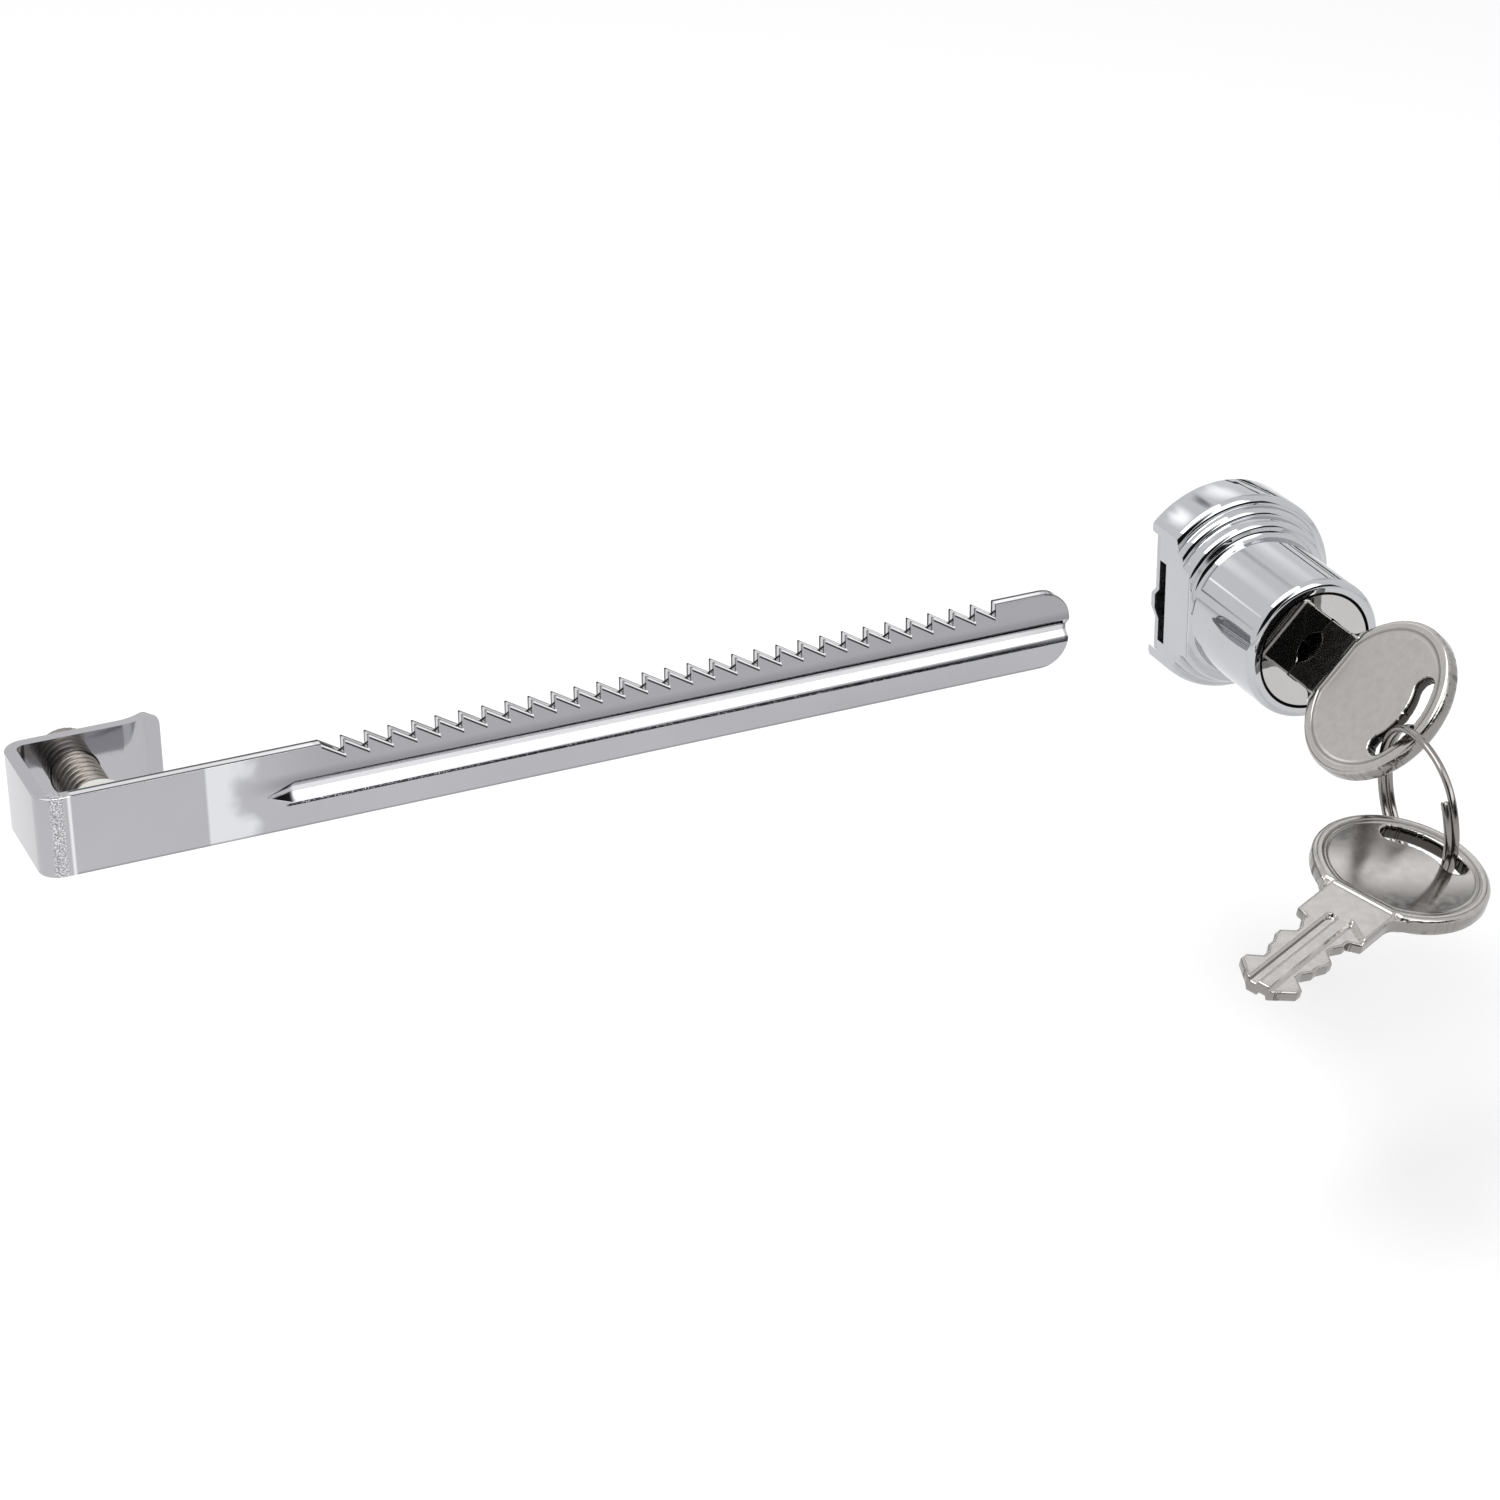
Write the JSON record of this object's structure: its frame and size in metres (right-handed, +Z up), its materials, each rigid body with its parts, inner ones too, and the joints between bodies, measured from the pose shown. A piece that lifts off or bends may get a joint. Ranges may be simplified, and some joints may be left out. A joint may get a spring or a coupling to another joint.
{
  "type": "glass cabinet door lock",
  "caption": "Ratchet lock for sliding glass doors: a saw-tooth steel bar that hooks over a pane, a keyed round lock that slides along it, and keys on a split ring.",
  "frame": {"origin": "on the clamp screw's axis, where it meets the bar's rear face, at the bar's mid-height", "axes": "+X along the bar from the hook to the lock, +Y out of the bar's rear face into the glass, +Z up"},
  "size_m": [0.1819, 0.1055, 0.0317],
  "materials": {
    "chromed_steel": "plated and brushed by rolling",
    "plated_screw_steel": "dull plated",
    "pad_nylon": "moulded",
    "chromed_zinc": "polished plating on a casting",
    "plated_sheet_steel": "plated",
    "polished_plug": "mirror polished",
    "hardened_pin_steel": "ground",
    "spring_steel": "bright drawn",
    "nickel_key_brass": "nickel plated and tumbled",
    "wafer_brass": "stamped"
  },
  "bodies": {
    "bar": {"ratchet_bar": "chromed_steel"},
    "pad": {"pressure_pad": "pad_nylon"},
    "screw": {"clamp_screw": "plated_screw_steel"},
    "lock": {"lock_housing": "chromed_zinc", "rear_plate": "plated_sheet_steel", "plate_rivets": "plated_sheet_steel", "retaining_pin": "hardened_pin_steel"},
    "plug": {"plug": "polished_plug", "drive_cam": "hardened_pin_steel", "wafer_springs": "spring_steel", "wafer_1": "wafer_brass", "wafer_2": "wafer_brass", "wafer_3": "wafer_brass", "wafer_4": "wafer_brass", "wafer_5": "wafer_brass", "wafer_6": "wafer_brass"},
    "pawl": {"locking_pawl": "hardened_pin_steel"},
    "key": {"key": "nickel_key_brass"},
    "ring": {"split_ring": "spring_steel"},
    "spare": {"spare_key": "nickel_key_brass"}
  },
  "joints": [
    {"name": "clamp_advance", "type": "slide", "parent": "bar", "child": "pad", "axis": [0, 1, 0], "range_m": [-0.0005, 0.0104]},
    {"name": "screw_turn", "type": "hinge", "parent": "pad", "child": "screw", "pos_m": [0, 0.01, 0], "axis": [0, 1, 0], "range_deg": [-142, 2949]},
    {"name": "lock_slide", "type": "slide", "parent": "bar", "child": "lock", "axis": [-1, 0, 0], "range_m": [0, 0.12565]},
    {"name": "plug_turn", "type": "hinge", "parent": "lock", "child": "plug", "pos_m": [0.1586, -0.01, 0.0012], "axis": [0, -1, 0], "range_deg": [0, 44]},
    {"name": "pawl_drop", "type": "slide", "parent": "lock", "child": "pawl", "axis": [0, 0, -1], "range_m": [0, 0.0022]},
    {"name": "key_slide", "type": "slide", "parent": "plug", "child": "key", "axis": [0, -1, 0], "range_m": [0, 0.028]},
    {"name": "ring_swing", "type": "hinge", "parent": "key", "child": "ring", "pos_m": [0.1561, -0.04715, -0.00139], "axis": [0, 1, 0], "range_deg": [-46, 0]},
    {"name": "spare_key_swing", "type": "hinge", "parent": "ring", "child": "spare", "pos_m": [0.15518, -0.05595, -0.00593], "axis": [0.9905, -0.1285, 0.0488], "range_deg": [-40, 90]}
  ],
  "couplings": [
    {"joint": "screw_turn", "follows": "clamp_advance", "rad_per_m": 4947.4},
    {"joint": "pawl_drop", "follows": "plug_turn", "m_per_rad": 0.0028648}
  ]
}
